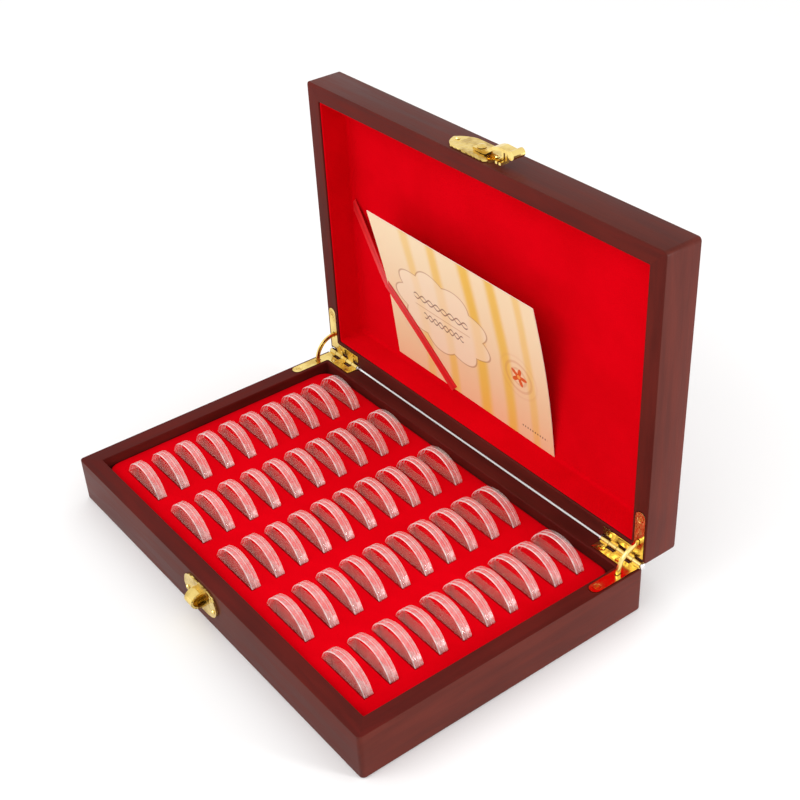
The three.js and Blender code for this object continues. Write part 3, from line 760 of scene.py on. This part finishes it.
def screw(name):
    """A countersunk screw with a crossed recess."""
    profile = [(0, LEAF_BOTTOM - 5), (0.5, LEAF_BOTTOM - 4.6), (1.2, LEAF_BOTTOM - 3.5), (1.2, LEAF_BOTTOM)]
    profile += [(SCREW_HEAD, LEAF_TOP - 0.12), (SCREW_HEAD, LEAF_TOP)]
    profile += [(SCREW_HEAD * 0.75, LEAF_TOP + 0.06), (SCREW_HEAD * 0.35, LEAF_TOP + 0.1), (0, LEAF_TOP + 0.12)]
    made = lathe(name, profile, 28)
    made.data.materials.append(brass)
    long, wide = SCREW_HEAD * 0.66, 0.24
    arms = [((-long, -wide), (long, wide)), ((-wide, -long), (wide, long))]
    return carve(made, [block("cut", (*a, LEAF_TOP - 0.45), (*b, 2)) for a, b in arms])


def pin(name):
    turn = Matrix.Rotation(math.pi / 2, 4, "Y")
    head, rod = BARREL - 0.25, 1.1
    start, end = REAR_IN - 1.6, REAR_OUT + 1.5
    profile = [(0, start - 0.2), (head * 0.6, start - 0.1), (head, start + 0.3), (head, start + 1.1)]
    profile += [(rod, start + 1.2), (rod, end - 1.2), (head, end - 1.1), (head, end - 0.3)]
    profile += [(head * 0.6, end + 0.1), (0, end + 0.2)]
    made = lathe(name, profile, 24, turn)
    made.data.materials.append(steel)
    return made


def stay(name):
    """A quarter ring through both leaves with swollen ends below them."""
    low, high, stop = -12.5, 102.5, 5.5

    def ring(inner, outer, start, end, steps):
        points = arc(0, 0, outer, start, end, steps) + arc(0, 0, inner, end, start, steps)
        return [(-a, b) for a, b in points]

    half = STAY_THICK / 2
    bm = bmesh.new()
    band = ring(STAY_IN, STAY_OUT, low, high, 36)
    add_prism(bm, band, LEG_MIDDLE - half, LEG_MIDDLE + half, "yzx")
    made = to_object(name, bm, brass)
    ends = []
    for start in (low - 1, high - stop + 1):
        thick = ring(STAY_IN - 0.35, STAY_OUT + 0.35, start, start + stop, 5)
        ends.append(prism("end", thick, LEG_MIDDLE - 1.7, LEG_MIDDLE + 1.7, "yzx"))
    combine(made, ends, "UNION")
    return soften(made, 0.22, 2, 40)


def make_hinges():
    base_leaf = hinge_leaf("base_leaf", (0, 2, 4))
    lid_leaf = hinge_leaf("lid_leaf", (1, 3))
    parts = {"screw": screw("screw"), "pin": pin("pin"), "stay": stay("stay")}
    for side, turn in (("left", MIRROR), ("right", Matrix())):
        put(copy_of(base_leaf, f"{side}_base_hinge_leaf"), BASE @ turn, "base", "polished_brass",
            f"{side}_hinge_base_leaf", angle=18)
        put(copy_of(lid_leaf, f"{side}_lid_hinge_leaf"), LID @ turn, "lid", "polished_brass",
            f"{side}_hinge_lid_leaf", angle=18)
        put(copy_of(parts["pin"], f"{side}_pin"), BASE @ turn, "base", "steel_pin", f"{side}_hinge_pin")
        put(copy_of(parts["stay"], f"{side}_curved_stay"), BASE @ turn, f"{side}_stay", "polished_brass",
            f"{side}_hinge_stay")
        for i, (x, y) in enumerate(SCREWS):
            spin = Matrix.Translation((x, y, 0)) @ Matrix.Rotation(0.5 + 0.8 * i, 4, "Z")
            for half, place in (("base", BASE), ("lid", LID)):
                put(copy_of(parts["screw"], f"{side}_{half}_screw_{i + 1}"), place @ turn @ spin, half,
                    "polished_brass", f"{side}_hinge_{half}_screw_{i + 1}")
    for obj in (base_leaf, lid_leaf, *parts.values()):
        bpy.data.objects.remove(obj)


def make_shells():
    for name, height, lid, place, paints, nodes in (
        ("base_shell", BASE_HEIGHT, False, BASE, (lacquer_base, rim_base), "base"),
        ("lid_shell", LID_HEIGHT, True, LID, (lacquer_lid, rim_lid), "lid"),
    ):
        shell = half_case(name, height, lid, paints)
        for turn in (Matrix(), MIRROR):
            cutters = hinge_seats()
            for cutter in cutters:
                cutter.data.transform(turn)
                if turn.determinant() < 0:
                    cutter.data.flip_normals()
            carve(shell, cutters)
        rails = [f"{nodes}_{side}_rail" for side in ("front", "back", "left", "right")]
        if lid:
            rails.append("lid_top_panel")
        put(shell, place, nodes, "lacquered_wood", *rails)


# ---------- tray, lining and capsules ----------
columns = [box_mm(f"capsule_column_{i + 1}") for i in range(COLUMNS)]
column_x = [(low.x + high.x) / 2 for low, high in columns]
TRAY_TOP = tray_high.z
CAPSULE_HALF = (columns[0][1].x - columns[0][0].x) / 2
CAPSULE_RISE = columns[0][1].z - TRAY_TOP
CAPSULE_RADIUS = (CAPSULE_HALF**2 + CAPSULE_RISE**2) / (2 * CAPSULE_RISE)
CAPSULE_Z = columns[0][1].z - CAPSULE_RADIUS
CAPSULE_FOOT = columns[0][0].z
first_row = columns[0][0].y + CAPSULE_THICKNESS / 2
ROW_PITCH = (columns[0][1].y - columns[0][0].y - CAPSULE_THICKNESS) / (ROWS - 1)
row_y = [first_row + ROW_PITCH * i for i in range(ROWS)]


def make_tray():
    """A flocked board with fifty slots, its border rolled down to the walls."""
    half_x, half_y = tray_high.x, (tray_high.y - tray_low.y) / 2
    low, top = tray_low.z - HINGE_Z, TRAY_TOP - HINGE_Z
    roll = 2.2
    profile = [(0, 11.0, low)]
    profile += [(a, 11.0 - a, h) for a, h in arc(roll, top - roll, roll, 180, 90, 5)]
    bm = bmesh.new()
    add_skin(bm, frame_rings(profile, half_x, half_y))
    board = to_object("tray_insert", bm, red_flock)
    bm = bmesh.new()
    for x in column_x:
        for y in row_y:
            rings = []
            for grow, z in ((0.2, low + 1.5), (0.2, top - 0.7), (0.35, top - 0.3), (0.75, top), (1.2, top + 0.5)):
                a, b = CAPSULE_HALF + grow, CAPSULE_THICKNESS / 2 + grow
                cy = y - HINGE_Y
                rings.append([(x + a, cy + b, z), (x - a, cy + b, z), (x - a, cy - b, z), (x + a, cy - b, z)])
            add_skin(bm, rings)
    carve(board, [to_object("cut", bm)])
    put(board, BASE, "base", "red_flock", "slotted_tray_insert")


def make_lining():
    """The lid's flocked lining: walls and ceiling in one skin, with soft corners."""
    gap = 0.3
    floor = -(lining_high.y - HINGE_Y)
    lip = -(lining_low.y - HINGE_Y)
    outer = WALL + gap
    inner = outer + LINING
    cove = 2.5
    profile = [(outer, 0.8, floor), (outer, 0.8, lip - 0.4), (outer + 0.4, 0.8, lip), (inner, 1.0, lip - 0.4)]
    profile += [(a, 3.2, h) for a, h in arc(inner + cove, floor + LINING + cove, cove, 180, 270, 5)]
    bm = bmesh.new()
    add_skin(bm, frame_rings(profile))
    put(to_object("lining", bm, red_flock), LID, "lid", "red_flock", "lid_lining")


def capsule_ring(inset, y):
    """A capsule's outline moved in by an inset: an arc above the tray on a straight-sided foot."""
    radius, half = CAPSULE_RADIUS - inset, CAPSULE_HALF - inset
    start = math.degrees(math.acos(half / radius))
    points = arc(0, 0, radius, start, 180 - start, 40)
    low, seat = CAPSULE_FOOT - CAPSULE_Z + inset, points[0][1]
    sides = [(-half, seat * 0.5 + low * 0.5), (-half, low), (half, low), (half, seat * 0.5 + low * 0.5)]
    return [(x, y, z) for x, z in points + sides]


def capsule_mesh():
    """A two-part clear capsule: two shells that meet at a seam, and a moulded web at the tray's surface."""
    half, wall = CAPSULE_THICKNESS / 2, 1.1
    profile = [(2.8, half - 0.35), (2.4, half), (0.5, half), (0, half - 0.5), (0, 0.35), (0.3, 0.1)]
    profile += [(wall, 0.1), (wall, half - 1.15)]
    paints = (0, 1, 2, 0, 2, 1, 1)
    web = TRAY_TOP - CAPSULE_Z + 0.15
    bm = bmesh.new()
    for side in (1, -1):
        before = set(bm.faces)
        add_skin(bm, [capsule_ring(inset, side * y) for inset, y in profile], index=lambda i: paints[i])
        for face in set(bm.faces) - before:
            if len(face.verts) > 4 or face.calc_center_median().z < web:
                face.material_index = 1
    before = set(bm.faces)
    add_block(bm, (-CAPSULE_HALF + 0.7, -half + 0.05, web), (CAPSULE_HALF - 0.7, half - 0.05, web + 0.4))
    for face in set(bm.faces) - before:
        face.material_index = 3
    return to_object("capsule", bm, clear_rim, clear_face, clear_edge, clear_foot)


def make_capsules():
    pattern = capsule_mesh()
    pattern.data.transform(WORLD)
    smooth(pattern, 30)
    for c, x in enumerate(column_x):
        for r, y in enumerate(row_y):
            capsule = pattern.copy()
            capsule.name = f"capsule_{c + 1}_{r + 1}"
            scene.collection.objects.link(capsule)
            lean = math.radians(1.2 * noise.noise((c * 3.1, r * 2.7, 0.5)))
            place = Matrix.Translation((x * MM, y * MM, CAPSULE_Z * MM)) @ Matrix.Rotation(lean, 4, "X")
            capsule.matrix_world = place
            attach(capsule, "base")
            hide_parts(f"capsule_column_{c + 1}")
    bpy.data.objects.remove(pattern)


# ---------- certificate card and ribbon ----------
CARD_THICK = 0.4
CARD_BOW = 2.5
RIBBON_WIDE = 10.0
RIBBON_THICK = 0.3
RIBBON_EDGE = 60.0
RIBBON_FOOT = 64.0
RIBBON_PRESS = 0.8
card_up = Vector((0, -math.sin(CARD_LEAN), math.cos(CARD_LEAN)))
card_out = Vector((0, -math.cos(CARD_LEAN), -math.sin(CARD_LEAN)))


def card_point(u, v, out=0.0):
    """A point of the card: u from its left edge, v up from its foot, out towards the viewer."""
    along = u - CARD_WIDTH / 2
    x = along * math.cos(CARD_TILT) + v * math.sin(CARD_TILT)
    up = v * math.cos(CARD_TILT) - along * math.sin(CARD_TILT)
    share = max(v, 0) / CARD_HEIGHT
    bow = -CARD_BOW * math.sin(math.pi * min(share, 1))
    from_ribbon = (u / RIBBON_FOOT + v / RIBBON_EDGE - 1) / math.hypot(1 / RIBBON_FOOT, 1 / RIBBON_EDGE)
    press = -RIBBON_PRESS * math.exp(-((from_ribbon / 22) ** 2)) * min(share * 2.2, 1)
    return CARD_FOOT + Vector((x, 0, 0)) + card_up * up + card_out * (out + bow + press)


def surface_grid(place, rows, columns):
    """Points and normals of a surface place(s, t), s across and t up."""
    step = 1e-3
    grid = []
    for i in range(rows):
        line = []
        for j in range(columns):
            s, t = j / (columns - 1), i / (rows - 1)
            point = place(s, t)
            across = place(s + step, t) - place(s - step, t)
            up = place(s, t + step) - place(s, t - step)
            line.append((point, across.cross(up).normalized()))
        grid.append(line)
    return grid


def make_card():
    grid = surface_grid(lambda s, t: card_point(s * CARD_WIDTH, t * CARD_HEIGHT), 40, 52)
    bm = bmesh.new()
    add_sheet(bm, grid, CARD_THICK)
    card = to_object("card", bm, card_print, card_stock)
    put(card, WORLD, "card", "card_paper", "certificate_card", angle=50)
    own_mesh(card)


def make_ribbon():
    """Satin from the corner of the lid over the card's lower left corner to its foot."""
    wall = Vector((lining_low.x + 1.5, lining_high.y - LINING - 0.8, 156.0))
    edge_v = RIBBON_EDGE
    corner = card_point(0, edge_v, CARD_THICK + 0.5)
    foot_length = math.hypot(RIBBON_FOOT, RIBBON_EDGE)
    span = (corner - wall).length
    total = span + foot_length

    def place(s, t):
        side = (s - 0.5) * RIBBON_WIDE
        gone = t * total
        narrow = 1 - 0.12 * math.sin(math.pi * t)
        lift = 0.25 * math.cos(2 * math.pi * s) * math.sin(math.pi * t)
        share = (gone - span) / foot_length
        unit = Vector((RIBBON_EDGE, RIBBON_FOOT)).normalized()
        on_card = card_point(
            max(share, 0) * RIBBON_FOOT + side * narrow * unit.x,
            RIBBON_EDGE - max(share, 0) * RIBBON_EDGE + side * narrow * unit.y,
            CARD_THICK + 0.35 + lift,
        )
        if share >= 0:
            return on_card
        back = min(-share * foot_length / span, 1.05)
        across = (card_point(unit.x, unit.y) - card_point(0, 0)).normalized()
        at_wall = wall + across * side * narrow + card_out * lift
        bend = 3 * back**2 - 2 * back**3
        mixed = on_card.lerp(at_wall, back)
        return mixed + card_out * (bend - back) * -1.5

    rows = 96
    grid = surface_grid(place, rows, 9)
    bm = bmesh.new()
    add_sheet(bm, grid, RIBBON_THICK)
    ribbon = to_object("ribbon", bm, ribbon_satin, ribbon_satin)
    ribbon.data.transform(WORLD)
    smooth(ribbon, 50)
    corner * MM
    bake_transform(ribbon)
    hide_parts("card_ribbon")


# ---------- carried-over CAD nodes ----------
def dress(node, material):
    mesh = frame["nodes"][node].data
    mesh.materials.clear()
    mesh.materials.append(material)


make_camera()
make_studio()
make_shells()
make_hinges()
make_tray()
make_lining()
make_capsules()
make_card()
make_ribbon()
dress("base_bottom_panel", under_board)
for node in ("catch_plate", "catch_nail_1", "catch_nail_2", "lid_clasp_plate", "lid_clasp_nail_1",
             "lid_clasp_nail_2", "clasp_rivet", "clasp_lever"):
    dress(node, stamped_brass if "plate" in node else brass)
